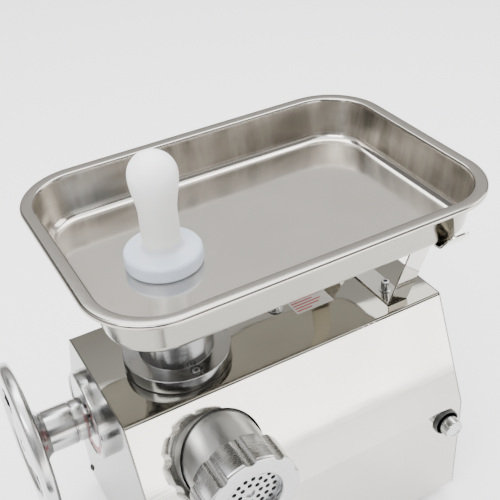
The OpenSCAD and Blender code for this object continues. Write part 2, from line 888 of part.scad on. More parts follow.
// An arc with a pointed end, which shows the way the wheel turns
module turn_arrow_label() {
    arc_start = 165;
    arc_end = 330;
    color("#b3202a")
    translate([end_x0 - boss_floor, wheel_y, worm_z]) rotate([0, -90, 0])
        linear_extrude(0.4) {
            difference() {
                circle(r = 42, $fn = 128);
                circle(r = 35, $fn = 128);
                polygon([[0, 0], for (a = [arc_end : 15 : arc_start + 360]) 90 * [cos(a), sin(a)]]);
            }
            rotate(arc_end) polygon([[33.5, -0.5], [43, -0.5], [38.5, 9]]);
        }
}

module clamp_guide() {
    color("darkgray")
    along_x(end_x0 + sheet_t, wheel_y, worm_z)
        difference() {
            union() {
                cylinder(h = 3, r = 26, $fn = 64);
                cylinder(h = guide_x1 - end_x0 - sheet_t, r = 20, $fn = 64);
            }
            translate([0, 0, -1]) cylinder(h = guide_x1 - end_x0 - sheet_t - 5, r = 17.5, $fn = 64);
            translate([0, 0, -1]) cylinder(h = 60, r = clamp_pin_r + run, $fn = 48);
        }
}

module retaining_ring() {
    color("gray")
    along_x(end_x0 + sheet_t + gap, wheel_y, worm_z) tube(16, journal_r, 2);
}

module clamp_sleeve() {
    color("silver")
    translate([end_x0 + 13, wheel_y, worm_z]) rotate([0, -90, 0])
        rotate_extrude($fn = 96)
            polygon([[clamp_pin_r + 0.3, 0], [journal_r, 0], [journal_r, 13 + boss_floor + 1],
                [sleeve_r - 1, 13 + boss_floor + 1], [sleeve_r, 13 + boss_floor + 2], [sleeve_r, 38],
                [sleeve_r - 1.2, 38.6], [sleeve_r - 1.2, 39.4], [sleeve_r, 40],
                [sleeve_r, end_x0 + 13 - sleeve_x0], [clamp_pin_r + 0.3, end_x0 + 13 - sleeve_x0]]);
}

module handwheel() {
    hub_front = 16;                     // depth of the dish between sleeve and rim plane
    dish_z = sleeve_x0 - rim_x;
    win_r0 = 36;
    win_r1 = wheel_r - 18;
    color("silver")
    translate([sleeve_x0, wheel_y, worm_z]) rotate([0, -90, 0])
        difference() {
            rotate_extrude($fn = 128)
                union() {
                    polygon([[0, 0], [sleeve_r, 0], [sleeve_r + 3, 4], [sleeve_r + 9, 10],
                        [wheel_r - 18, dish_z - 4], [wheel_r - 18, dish_z + 4],
                        [sleeve_r + 6, dish_z - 1], [sleeve_r, hub_front - 2], [0, hub_front - 2]]);
                    translate([wheel_r - 7, dish_z]) circle(r = wheel_t / 2, $fn = 48);
                    translate([wheel_r - 18, dish_z - 5]) square([12, 10]);
                }
            for (i = [0 : wheel_windows - 1])
                rotate(i * 360 / wheel_windows)
                    translate([0, 0, -1]) linear_extrude(40)
                        intersection() {
                            difference() {
                                circle(r = win_r1, $fn = 96);
                                circle(r = win_r0, $fn = 96);
                            }
                            polygon([[9, 0], for (a = [-24, 24]) 120 * [cos(a), sin(a)]]);
                        }
        }
}

module clamp_pin() {
    color("gray")
    along_x(sleeve_x0 + 12, wheel_y, worm_z)
        cylinder(h = neck_x - tail_r - gap - sleeve_x0 - 12, r = clamp_pin_r, $fn = 64);
}

// ---- Controls ----

module switch_unit() {
    color("#1d1d1d")
    along_y(switch_x, front_y, switch_z) {
        translate([0, 0, -3]) tube(15.5, 8.2, 3);
        translate([0, 0, -1])
            difference() {
                cylinder(h = 40, r = 10, $fn = 64);
                translate([0, 0, -3]) cylinder(h = 12, r = 8.2, $fn = 64);
            }
        translate([-14, -14, 12]) cube([28, 28, 26]);
    }
}

module switch_knob() {
    color("silver")
    along_y(switch_x, front_y - 17, switch_z)
        difference() {
            union() {
                cylinder(h = 13, r = 11.5, $fn = 64);
                cylinder(h = 22, r = 8, $fn = 64);
            }
            translate([-0.8, -20, -1]) cube([1.6, 12, 2.2]);
        }
}

module cable_gland() {
    color("#222222")
    along_x(end_x1, back_y - 38, gland_z)
        difference() {
            union() {
                translate([0, 0, -8]) cylinder(h = 8.5, r = 8, $fn = 48);
                cylinder(h = 3, r = 12, $fn = 6);
                cylinder(h = 11, r = 8.5, $fn = 48);
            }
            translate([0, 0, -9]) cylinder(h = 30, r = 4, $fn = 48);
        }
}

top_plate();
front_panel();
back_panel();
left_end_plate();
rear_cover();
base_plate();
rubber_feet();
foot_screws();
cover_screws();
end_plate_screws();
domed_bolt();
info_label();
neck_gasket();
feed_neck();
neck_screws();
neck_backing_ring();
tray_bracket();
bracket_screws();
tray();
tray_spigot();
pusher();
barrel();
barrel_saddle();
worm();
worm_bush();
knife();
hole_plate();
locating_pin();
ring_nut();
gearbox_body();
gearbox_cover();
gearbox_screws();
oil_seal();
output_bearing();
output_shaft();
output_gear();
intermediate_shaft();
intermediate_gear();
motor_pinion();
motor_shaft();
motor_bearings();
rotor();
stator();
motor_shell();
drive_end_shield();
fan_end_shield();
fan();
fan_cowl();
motor_cradle();
capacitor();
clamp_boss();
turn_arrow_label();
clamp_guide();
retaining_ring();
handwheel();
clamp_sleeve();
clamp_pin();
switch_unit();
switch_knob();
cable_gland();
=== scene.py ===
"""Countertop electric meat grinder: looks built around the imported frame.

Sizes are in metres. Places come from the frame's own boxes, so each piece sits
where its CAD node sits.
"""
import json
import math

import bmesh
import bpy
from mathutils import Matrix, Vector


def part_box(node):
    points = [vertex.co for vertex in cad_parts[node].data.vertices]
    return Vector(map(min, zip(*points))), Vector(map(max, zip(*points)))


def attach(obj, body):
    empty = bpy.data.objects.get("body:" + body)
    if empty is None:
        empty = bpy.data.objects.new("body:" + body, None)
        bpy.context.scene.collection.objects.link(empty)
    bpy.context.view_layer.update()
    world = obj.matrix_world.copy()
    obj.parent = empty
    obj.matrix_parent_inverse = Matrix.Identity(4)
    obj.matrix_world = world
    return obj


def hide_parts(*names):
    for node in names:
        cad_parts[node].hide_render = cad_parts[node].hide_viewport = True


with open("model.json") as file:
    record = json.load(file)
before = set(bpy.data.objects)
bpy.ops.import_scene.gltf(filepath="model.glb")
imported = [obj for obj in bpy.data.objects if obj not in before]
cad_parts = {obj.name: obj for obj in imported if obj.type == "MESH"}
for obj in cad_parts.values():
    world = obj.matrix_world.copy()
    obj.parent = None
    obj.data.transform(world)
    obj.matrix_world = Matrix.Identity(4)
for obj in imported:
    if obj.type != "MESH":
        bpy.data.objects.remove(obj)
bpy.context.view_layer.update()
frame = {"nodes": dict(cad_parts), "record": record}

MM = 0.001
TURN = 2 * math.pi


# ---- Camera, floor and light ----

# Where the camera stands, and which ways are right and up in its view.
CAMERA_PLACE = (-0.285, -0.6047, 0.8492)
CAMERA_RIGHT = Vector((0.8714, -0.4873, -0.0576))
CAMERA_UP = Vector((0.3216, 0.4784, 0.8172))
CAMERA_LENS = 61.2

# Name, place, what it is aimed at, size, power in watts, colour, and if only the metal mirrors it.
LIGHTS = (
    ("key", (-1.3, -0.9, 1.9), (0, 0, 0.35), (1.4, 1.0), 55, (1, 1, 1), False),
    ("overhead", (0.3, 0.9, 2.3), (0, 0.1, 0.35), (2.6, 1.6), 66, (1, 1, 1), False),
    ("right_fill", (1.7, -0.4, 1.2), (0, 0, 0.3), (0.9, 1.3), 18, (1.0, 0.97, 0.93), False),
    ("front_strip", (0.75, -1.55, 0.29), (0.1, 0, 0.22), (2.6, 0.54), 19, (1.0, 0.95, 0.89), True),
)

# Name, place, what it is aimed at, size and colour of each dark card.
FLAGS = (
    ("flag_behind_camera", (-0.80, -0.98, 1.05), (0, 0, 0.4), (1.5, 0.9), (0.05, 0.048, 0.045)),
    ("flag_high_front", (0.80, -1.00, 1.75), (0.1, 0, 0.4), (1.3, 0.9), (0.20, 0.195, 0.18)),
    ("flag_high_back", (-0.52, 1.14, 1.50), (0.1, 0, 0.4), (0.9, 1.0), (0.13, 0.125, 0.12)),
    ("flag_low_front", (-0.33, -0.52, 0.004), (-0.33, -0.52, 1), (0.34, 0.44), (0.04, 0.04, 0.038)),
)

FLOOR_SIZE = 80
FLOOR_WHITE = (0.92, 0.92, 0.92)
FLOOR_GLOW = 0.45
CARD_BLACK = (0.02, 0.02, 0.02)
BACKDROP_WHITE = (0.93, 0.93, 0.93)
BACKDROP_STRENGTH = 1.6
ROOM_STRENGTH = 3.2

# The room's colour by height: 0 is straight down, 0.5 the horizon, 1 straight up.
ROOM_STOPS = (
    (0.0, (0.085, 0.080, 0.070)), (0.16, (0.115, 0.108, 0.097)), (0.30, (0.17, 0.16, 0.15)),
    (0.45, (0.27, 0.262, 0.252)), (0.60, (0.36, 0.355, 0.345)), (0.74, (0.42, 0.42, 0.42)),
    (0.84, (1.0, 1.0, 1.0)),
)


def make_camera():
    """A camera with no shift and no depth of field, looking down on the tray from its front left."""
    data = bpy.data.cameras.new("camera")
    data.lens = CAMERA_LENS
    data.sensor_width = 36
    data.clip_start = 0.01
    camera = bpy.data.objects.new("camera", data)
    bpy.context.scene.collection.objects.link(camera)
    right = CAMERA_RIGHT.normalized()
    back = right.cross(CAMERA_UP).normalized()
    up = back.cross(right)
    turn = Matrix((right, up, back)).transposed().to_4x4()
    camera.matrix_world = Matrix.Translation(CAMERA_PLACE) @ turn
    bpy.context.scene.camera = camera


def facing(place_at, target, axis):
    """The turn that points an object's axis from its place to a target."""
    return (Vector(target) - Vector(place_at)).to_track_quat(axis, "Y").to_euler()


def make_light(name, place_at, target, size, power, colour, mirrored_only):
    """An area light that is not itself in view."""
    data = bpy.data.lights.new(name, "AREA")
    data.shape = "RECTANGLE"
    data.size, data.size_y = size
    data.energy = power
    data.color = colour
    light = bpy.data.objects.new(name, data)
    light.visible_camera = False
    light.visible_diffuse = not mirrored_only
    bpy.context.scene.collection.objects.link(light)
    light.location = place_at
    light.rotation_euler = facing(place_at, target, "-Z")


def stage_paint(name, base, rough, glow, strength):
    """An even paint with a glow of its own, for the floor and the cards."""
    paint = bpy.data.materials.new(name)
    paint.use_nodes = True
    shader = paint.node_tree.nodes["Principled BSDF"]
    shader.inputs["Base Color"].default_value = (*base, 1)
    shader.inputs["Roughness"].default_value = rough
    shader.inputs["Emission Color"].default_value = (*glow, 1)
    shader.inputs["Emission Strength"].default_value = strength
    return paint


def make_stage():
    """The plain pale floor."""
    bpy.ops.object.select_all(action="DESELECT")
    bpy.ops.mesh.primitive_plane_add(size=FLOOR_SIZE)
    floor = bpy.context.object
    floor.name = "floor"
    floor.data.materials.append(stage_paint("floor_paint", FLOOR_WHITE, 0.7, (1, 1, 1), FLOOR_GLOW))


def make_world():
    """A soft room, pale overhead and darker below, for the metal to mirror; the backdrop is plain."""
    world = bpy.data.worlds.new("room")
    bpy.context.scene.world = world
    world.use_nodes = True
    tree = world.node_tree
    coords = tree.nodes.new("ShaderNodeTexCoord")
    split = tree.nodes.new("ShaderNodeSeparateXYZ")
    ramp = tree.nodes.new("ShaderNodeValToRGB")
    ramp.color_ramp.elements[0].position = ROOM_STOPS[0][0]
    ramp.color_ramp.elements[1].position = ROOM_STOPS[-1][0]
    for stop in ROOM_STOPS[1:-1]:
        ramp.color_ramp.elements.new(stop[0])
    for element, (_, colour) in zip(ramp.color_ramp.elements, ROOM_STOPS):
        element.color = (*colour, 1)
    tree.links.new(coords.outputs["Generated"], split.inputs["Vector"])
    tree.links.new(split.outputs["Z"], ramp.inputs["Fac"])
    mirrored = tree.nodes["Background"]
    tree.links.new(ramp.outputs["Color"], mirrored.inputs["Color"])
    mirrored.inputs["Strength"].default_value = ROOM_STRENGTH
    seen = tree.nodes.new("ShaderNodeBackground")
    seen.inputs["Color"].default_value = (*BACKDROP_WHITE, 1)
    seen.inputs["Strength"].default_value = BACKDROP_STRENGTH
    path = tree.nodes.new("ShaderNodeLightPath")
    blend = tree.nodes.new("ShaderNodeMixShader")
    tree.links.new(path.outputs["Is Camera Ray"], blend.inputs[0])
    tree.links.new(mirrored.outputs[0], blend.inputs[1])
    tree.links.new(seen.outputs[0], blend.inputs[2])
    tree.links.new(blend.outputs[0], tree.nodes["World Output"].inputs["Surface"])


def make_flag(name, place_at, target, size, grey):
    """A plain card that only the metal mirrors: it throws no shadow and the camera misses it."""
    bpy.ops.object.select_all(action="DESELECT")
    bpy.ops.mesh.primitive_plane_add(size=1)
    flag = bpy.context.object
    flag.name = name
    flag.scale = (*size, 1)
    flag.location = place_at
    flag.rotation_euler = facing(place_at, target, "Z")
    for ray in ("camera", "diffuse", "transmission", "shadow", "volume_scatter"):
        setattr(flag, f"visible_{ray}", False)
    flag.data.materials.append(stage_paint(name + "_paint", CARD_BLACK, 1.0, grey, 1.0))


# ---- Materials ----

class Finish:
    """A material whose nodes read Object coordinates, in metres."""

    def __init__(self, name, colour, metal=0.0, rough=0.5):
        self.material = bpy.data.materials.new(name)
        self.material.use_nodes = True
        self.tree = self.material.node_tree
        self.shader = self.tree.nodes["Principled BSDF"]
        self.coords = self.tree.nodes.new("ShaderNodeTexCoord").outputs["Object"]
        self.set("Base Color", (*colour, 1))
        self.set("Metallic", metal)
        self.set("Roughness", rough)

    def set(self, socket, value):
        self.shader.inputs[socket].default_value = value

    def node(self, kind, **inputs):
        """Adds a node; its inputs are named as on the node, with _ for a space."""
        made = self.tree.nodes.new(kind)
        for key, value in inputs.items():
            self.feed(made.inputs[key.replace("_", " ")], value)
        return made

    def feed(self, socket, value):
        """Links a socket to another one, or gives it a value."""
        if isinstance(value, bpy.types.NodeSocket):
            self.tree.links.new(value, socket)
        else:
            socket.default_value = value

    def math(self, operation, first, second=0.0):
        made = self.tree.nodes.new("ShaderNodeMath")
        made.operation = operation
        self.feed(made.inputs[0], first)
        self.feed(made.inputs[1], second)
        return made.outputs[0]

    def stretched(self, scale, about=(0, 0, 0)):
        """Object coordinates, moved so that about is the origin, then scaled."""
        shift = self.tree.nodes.new("ShaderNodeMapping")
        self.tree.links.new(self.coords, shift.inputs["Vector"])
        shift.inputs["Location"].default_value = [-a * s for a, s in zip(about, scale)]
        shift.inputs["Scale"].default_value = scale
        return shift.outputs["Vector"]

    def noise(self, scale, size=1.0, detail=2.0, rough=0.5):
        """Noise from 0 to 1 with about scale waves a metre along each axis."""
        made = self.node("ShaderNodeTexNoise", Scale=size, Detail=detail, Roughness=rough)
        self.tree.links.new(self.stretched(scale), made.inputs["Vector"])
        return made.outputs["Fac"]

    def between(self, factor, low, high, out_low, out_high):
        """Maps factor from low..high to out_low..out_high, held at the ends."""
        made = self.node("ShaderNodeMapRange", Value=factor)
        made.inputs["From Min"].default_value = low
        made.inputs["From Max"].default_value = high
        made.inputs["To Min"].default_value = out_low
        made.inputs["To Max"].default_value = out_high
        return made.outputs["Result"]

    def mix(self, factor, first, second):
        """A colour that goes from first to second as factor goes from 0 to 1."""
        made = self.tree.nodes.new("ShaderNodeMix")
        made.data_type = "RGBA"
        for socket, value in ((0, factor), (6, first), (7, second)):
            if isinstance(value, tuple) and len(value) == 3:
                value = (*value, 1)
            self.feed(made.inputs[socket], value)
        return made.outputs[2]

    def colour(self, value):
        self.tree.links.new(value, self.shader.inputs["Base Color"])

    def roughness(self, value):
        self.tree.links.new(value, self.shader.inputs["Roughness"])

    def bump(self, height, strength, distance):
        made = self.node("ShaderNodeBump", Height=height, Strength=strength, Distance=distance)
        self.tree.links.new(made.outputs["Normal"], self.shader.inputs["Normal"])


def rubbed_steel(name, tint, rough, rough_spread, grain, relief=0.05):
    """Sheet steel with a long polishing grain, cloudy patches and small specks.

    Clouds vary the tint, and grain and clouds vary the roughness. Grain is how fine the lines are along
    each axis: they run along the axis with the small number.
    """
    steel = Finish(name, tint, metal=1.0, rough=rough)
    cloud = steel.noise((9, 9, 9), detail=3)
    lines = steel.noise(grain, detail=4, rough=0.6)
    specks = steel.noise((900, 900, 900), detail=1)
    dark = tuple(c * 0.90 for c in tint)
    dirty = tuple(c * 0.72 for c in tint)
    clouded = steel.mix(steel.between(cloud, 0.35, 0.65, 0, 1), tint, dark)
    steel.colour(steel.mix(steel.between(specks, 0.74, 0.80, 0, 0.7), clouded, dirty))
    spread = steel.between(lines, 0.3, 0.7, rough - rough_spread, rough + rough_spread)
    hazy = steel.between(cloud, 0.3, 0.7, -rough_spread, rough_spread)
    steel.roughness(steel.math("ADD", spread, hazy))
    steel.bump(lines, relief, 0.0004)
    return steel


def drawn_steel_and_painted_shade(name):
    """The tray's inside: a rubbed floor, dull walls painted dark with lighter vertical streaks, and a
    grey rim. The dark walls are painted shade for the dark reflections the walls show, and the lighter
    streaks are painted highlight streaks.
    """
    steel = rubbed_steel(name, (0.66, 0.63, 0.59), 0.12, 0.02, (8, 500, 500), relief=0.02)
    lo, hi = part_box("tray")
    height = steel.node("ShaderNodeSeparateXYZ", Vector=steel.coords).outputs[2]
    foot = steel.between(height, lo.z + 5 * MM, lo.z + 11 * MM, 0, 1)
    head = steel.between(height, hi.z - 4 * MM, hi.z - 2 * MM, 1, 0)
    wall = steel.math("MULTIPLY", foot, head)
    rim = steel.between(height, hi.z - 2.6 * MM, hi.z - 1.4 * MM, 0, 1)

    # Painted shade: the walls are painted dark for the dark reflections they show, and lighter vertical
    # streaks are painted on them as highlight streaks.
    highlight_streaks = steel.noise((38, 38, 5), detail=3, rough=0.6)
    blots = steel.noise((11, 11, 24), detail=3)
    dark = steel.mix(steel.between(blots, 0.36, 0.62, 0, 1),
                     (0.16, 0.152, 0.134), (0.35, 0.325, 0.288))
    dark = steel.mix(steel.between(highlight_streaks, 0.42, 0.66, 0, 0.7), dark, (0.47, 0.44, 0.395))
    warm = steel.noise((4.5, 4.5, 4.5), detail=2)
    rubbed = steel.shader.inputs["Base Color"].links[0].from_socket
    floor = steel.mix(steel.between(warm, 0.52, 0.66, 0, 0.35), rubbed, (0.62, 0.53, 0.48))
    grey = steel.mix(blots, (0.36, 0.345, 0.32), (0.46, 0.44, 0.41))
    steel.colour(steel.mix(rim, steel.mix(wall, floor, dark), grey))

    smooth = steel.shader.inputs["Roughness"].links[0].from_socket
    steel.roughness(steel.math("ADD", smooth, steel.math("MULTIPLY", wall, 0.21)))
    return steel


def turned_metal(name, tint, rough, centre, axis):
    """Metal with fine rings left by a lathe round the axis through centre."""
    metal = Finish(name, tint, metal=1.0, rough=rough)
    split = metal.node("ShaderNodeSeparateXYZ", Vector=metal.stretched((1, 1, 1), centre))
    along = split.outputs[axis]
    across = [split.outputs[i] for i in range(3) if i != axis]
    squares = [metal.math("MULTIPLY", a, a) for a in across]
    radius = metal.math("SQRT", metal.math("ADD", *squares))
    reach = metal.math("ADD", radius, along)
    rings = metal.node("ShaderNodeTexNoise", Scale=1800.0, Detail=3.0)
    rings.noise_dimensions = "1D"
    metal.tree.links.new(reach, rings.inputs["W"])
    cloud = metal.noise((14, 14, 14), detail=2)
    metal.colour(metal.mix(cloud, tint, tuple(c * 0.9 for c in tint)))
    metal.roughness(metal.between(rings.outputs["Fac"], 0.3, 0.7, rough - 0.06, rough + 0.08))
    metal.bump(rings.outputs["Fac"], 0.12, 0.0003)
    return metal


def plain_metal(name, tint, rough, grain):
    """Cast, ground or plated metal, a little cloudy, with a fine even grain."""
    metal = Finish(name, tint, metal=1.0, rough=rough)
    fine = metal.noise((grain, grain, grain), detail=3)
    cloud = metal.noise((25, 25, 25), detail=3)
    metal.colour(metal.mix(cloud, tint, tuple(c * 0.82 for c in tint)))
    metal.roughness(metal.between(cloud, 0.3, 0.7, rough - 0.06, rough + 0.1))
    metal.bump(fine, 0.08, 0.0003)
    return metal


def moulded(name, tint, rough, grain=700, depth=0.15):
    """Plastic, rubber, paint or film with a fine moulded grain."""
    body = Finish(name, tint, rough=rough)
    fine = body.noise((grain, grain, grain), detail=2)
    cloud = body.noise((40, 40, 40), detail=2)
    body.colour(body.mix(cloud, tint, tuple(c * 0.8 for c in tint)))
    body.roughness(body.between(fine, 0.3, 0.7, rough - 0.05, rough + 0.08))
    body.bump(fine, depth, 0.0003)
    return body


def pusher_plastic(name):
    """Milky plastic: bluish and denser in the disc, whiter towards the ball."""
    body = Finish(name, (0.80, 0.84, 0.90), rough=0.33)
    top_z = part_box("pusher")[1].z
    tray_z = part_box("tray")[0].z
    height = body.node("ShaderNodeSeparateXYZ", Vector=body.coords).outputs[2]
    cloud = body.noise((30, 30, 30), detail=2)
    low = body.mix(body.between(height, tray_z + 17 * MM, tray_z + 30 * MM, 0, 1),
                   (0.46, 0.52, 0.62), (0.76, 0.765, 0.73))
    high = body.mix(body.between(height, tray_z + 40 * MM, top_z - 30 * MM, 0, 1),
                    low, (0.985, 0.985, 0.985))
    body.colour(body.mix(body.between(cloud, 0.3, 0.7, 0, 0.12), high, (0.60, 0.64, 0.70)))
    body.set("Subsurface Weight", 0.5)
    body.set("Subsurface Radius", (0.7, 0.85, 1.0))
    body.set("Subsurface Scale", 0.015)
    body.bump(body.noise((260, 260, 260), detail=2), 0.06, 0.0004)
    return body


def make_materials():
    """Every finish by its name: how it is made, its name, then what that way of making it takes."""
    along_x, along_y = (6, 420, 420), (420, 6, 420)
    neck, nut, boss = (sum(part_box(node), Vector()) / 2
                       for node in ("feed_neck", "ring_nut", "clamp_boss"))
    finishes = (
        # Painted shade: a darker copy of the polished sheet steel for the top plate, for the dark
        # reflections it shows.
        (rubbed_steel, "plate_steel", (0.25, 0.241, 0.212), 0.035, 0.012, along_x),
        # Painted shade: a darker copy of the polished sheet steel for the two end plates, for the dark
        # reflections they show.
        (rubbed_steel, "end_steel", (0.16, 0.16, 0.152), 0.09, 0.02, along_y),
        (drawn_steel_and_painted_shade, "tray_inside"),
        (rubbed_steel, "polished_steel", (0.62, 0.605, 0.565), 0.055, 0.02, along_x),
        (rubbed_steel, "tray_steel", (0.34, 0.325, 0.29), 0.13, 0.035, (8, 500, 500)),
        (turned_metal, "machined_steel", (0.28, 0.282, 0.283), 0.15, neck, 2),
        (turned_metal, "machined_nut", (0.55, 0.555, 0.56), 0.22, nut, 1),
        (turned_metal, "machined_boss", (0.45, 0.452, 0.45), 0.16, boss, 0),
        # Painted shade: near-black metal for the wheel's window walls, for the dark reflections seen
        # there.
        (plain_metal, "window_paint", (0.05, 0.05, 0.05), 0.4, 400),
        (plain_metal, "wheel_metal", (0.62, 0.63, 0.63), 0.20, 120),
        (plain_metal, "cast_aluminium", (0.50, 0.51, 0.52), 0.45, 400),
        (plain_metal, "tinned_iron", (0.60, 0.61, 0.62), 0.34, 350),
        (plain_metal, "steel_parts", (0.52, 0.53, 0.54), 0.28, 500),
        (plain_metal, "zinc_screw", (0.46, 0.47, 0.48), 0.25, 600),
        (plain_metal, "dark_screw", (0.06, 0.06, 0.06), 0.38, 600),
        (plain_metal, "bronze", (0.58, 0.40, 0.20), 0.32, 400),
        (moulded, "rubber_black", (0.03, 0.03, 0.03), 0.62),
        (moulded, "seal_rubber", (0.06, 0.035, 0.025), 0.55),
        (pusher_plastic, "pusher_plastic"),
        (moulded, "label_film", (0.62, 0.61, 0.59), 0.4, 300, 0.05),
        (moulded, "red_print", (0.42, 0.015, 0.025), 0.35, 300, 0.05),
        (moulded, "copper_winding", (0.45, 0.16, 0.07), 0.35, 900, 0.6),
        (plain_metal, "rotor_steel", (0.36, 0.36, 0.38), 0.35, 700),
        (moulded, "motor_paint", (0.10, 0.12, 0.16), 0.38, 500, 0.2),
        (moulded, "black_plastic", (0.018, 0.018, 0.018), 0.42),
        (moulded, "capacitor_case", (0.70, 0.70, 0.66), 0.35),
    )
    return {name: make(name, *rest).material for make, name, *rest in finishes}


def dress_nodes(materials):
    """Gives every CAD node the material of its slot."""
    for part in frame["record"]["subparts"]:
        mesh = frame["nodes"][part["node"]].data
        mesh.materials.clear()
        mesh.materials.append(materials[part["material_slot"]])


# ---- Modelling helpers ----

WELD = 0.005 * MM       # corners closer than this are one
SMOOTH = 30             # edges flatter than this, in degrees, are shaded smooth

# How a piece made on the floor, rising along +Z, is turned to rise along another axis. "end" stands a
# plate up across the object: what was drawn along X and Y then runs along Y and Z.
TURNS = {
    "+Z": (0, 0, 0),
    "-X": (0, -math.pi / 2, 0),
    "+Y": (-math.pi / 2, 0, 0),
    "-Y": (math.pi / 2, 0, 0),
    "end": (math.pi / 2, 0, math.pi / 2),
}


def start(name, add, **settings):
    """Adds a primitive with nothing else selected, and opens it for editing, all selected."""
    bpy.ops.object.select_all(action="DESELECT")
    add(**settings)
    piece = bpy.context.object
    piece.name = piece.data.name = name
    bpy.ops.object.mode_set(mode="EDIT")
    bpy.ops.mesh.select_all(action="SELECT")
    return piece


def select(kind, test):
    """Leaves only the verts, edges or faces that pass the test selected."""
    bpy.ops.mesh.select_all(action="DESELECT")
    bpy.ops.mesh.select_mode(type=kind)
    mesh = bmesh.from_edit_mesh(bpy.context.object.data)
    mesh.normal_update()
    for item in {"VERT": mesh.verts, "EDGE": mesh.edges, "FACE": mesh.faces}[kind]:
        if test(item):
            item.select_set(True)
    mesh.select_flush_mode()
    bmesh.update_edit_mesh(bpy.context.object.data)


def close_shape(outward=True, smooth=SMOOTH):
    """Welds the piece's doubles, turns its faces outwards and leaves edit mode."""
    bpy.ops.mesh.select_mode(type="VERT")
    bpy.ops.mesh.select_all(action="SELECT")
    bpy.ops.mesh.remove_doubles(threshold=WELD)
    if outward:
        bpy.ops.mesh.normals_make_consistent(inside=False)
    bpy.ops.object.mode_set(mode="OBJECT")
    bpy.ops.object.shade_smooth_by_angle(angle=math.radians(smooth))


def turn_outwards(piece):
    """Recalculates a finished shell's normals and its smooth shading."""
    bpy.context.view_layer.objects.active = piece
    piece.select_set(True)
    bpy.ops.object.mode_set(mode="EDIT")
    close_shape()


def apply_modifier(piece, kind, **settings):
    """Adds a modifier with its settings, and applies it."""
    bpy.context.view_layer.objects.active = piece
    modifier = piece.modifiers.new(kind.lower(), kind)
    for key, value in settings.items():
        setattr(modifier, key, value)
    bpy.ops.object.modifier_apply(modifier=modifier.name)


def place(piece, spot, turn="+Z"):
    """Turns a piece, moves it to spot, and applies both to its mesh."""
    bpy.ops.object.select_all(action="DESELECT")
    piece.select_set(True)
    bpy.context.view_layer.objects.active = piece
    piece.rotation_euler = TURNS[turn]
    piece.location = spot
    bpy.ops.object.transform_apply(location=True, rotation=True, scale=True)
    return piece


def soften(piece, width, segments=2, angle=35):
    """Rounds a piece's sharp edges by a small bevel."""
    apply_modifier(piece, "BEVEL", width=width, segments=segments, limit_method="ANGLE",
                   angle_limit=math.radians(angle), harden_normals=False)
    bpy.ops.object.select_all(action="DESELECT")
    piece.select_set(True)
    bpy.ops.object.shade_smooth_by_angle(angle=math.radians(35))


def trace(name, points):
    """Starts a piece as one line of vertices through the points."""
    piece = start(name, bpy.ops.mesh.primitive_plane_add, size=0.001)
    bpy.ops.mesh.merge(type="CENTER")
    bpy.ops.transform.translate(value=points[0])
    for before, after in zip(points, points[1:]):
        step = Vector(after) - Vector(before)
        bpy.ops.mesh.extrude_vertices_move(TRANSFORM_OT_translate={"value": step})
    return piece


def turned(name, profile, spot, turn="+Z", steps=96, smooth=SMOOTH):
    """A piece turned on a lathe from a profile of (radius, height) points, then placed."""
    piece = trace(name, [(radius, 0, height) for radius, height in profile])
    bpy.ops.mesh.select_all(action="SELECT")
    bpy.ops.mesh.spin(steps=steps, angle=TURN, center=(0, 0, 0), axis=(0, 0, 1))
    close_shape(smooth=smooth)
    return place(piece, spot, turn)


def sheet_along(name, path, x0, x1, thickness):
    """A folded sheet: its middle layer follows a Y-Z path, from x0 to x1."""
    piece = trace(name, [(x0, y, z) for y, z in path])
    bpy.ops.mesh.select_all(action="SELECT")
    bpy.ops.mesh.extrude_edges_move(TRANSFORM_OT_translate={"value": (x1 - x0, 0, 0)})
    close_shape()
    apply_modifier(piece, "SOLIDIFY", thickness=thickness, offset=0, use_even_offset=True)
    turn_outwards(piece)
    return piece


def slab(name, outline, thickness, spot, turn="+Z"):
    """A flat plate: an outline of (x, y) points, thickened upwards, then placed."""
    piece = trace(name, [(x, y, 0) for x, y in [*outline, outline[0]]])
    bpy.ops.mesh.select_all(action="SELECT")
    bpy.ops.mesh.remove_doubles(threshold=WELD)
    bpy.ops.mesh.edge_face_add()
    bpy.ops.mesh.extrude_region_move(TRANSFORM_OT_translate={"value": (0, 0, thickness)})
    close_shape()
    return place(piece, spot, turn)


def rod(name, radius, length, spot, turn="+Z", sides=64):
    """A plain cylinder that starts at spot; used to cut holes."""
    piece = start(name, bpy.ops.mesh.primitive_cylinder_add, vertices=sides, radius=radius,
                  depth=length, location=(0, 0, 0))
    bpy.ops.transform.translate(value=(0, 0, length / 2))
    close_shape()
    return place(piece, spot, turn)


def cut(piece, *cutters):
    """Takes the cutters out of a piece."""
    for cutter in cutters:
        apply_modifier(piece, "BOOLEAN", operation="DIFFERENCE", solver="EXACT", object=cutter)
        bpy.data.objects.remove(cutter)
    bpy.ops.object.select_all(action="DESELECT")
    piece.select_set(True)
    bpy.context.view_layer.objects.active = piece
    bpy.ops.object.shade_smooth_by_angle(angle=math.radians(SMOOTH))


def join(pieces):
    """Joins pieces into the first one."""
    bpy.ops.object.select_all(action="DESELECT")
    for piece in pieces:
        piece.select_set(True)
    bpy.context.view_layer.objects.active = pieces[0]
    bpy.ops.object.join()
    return pieces[0]


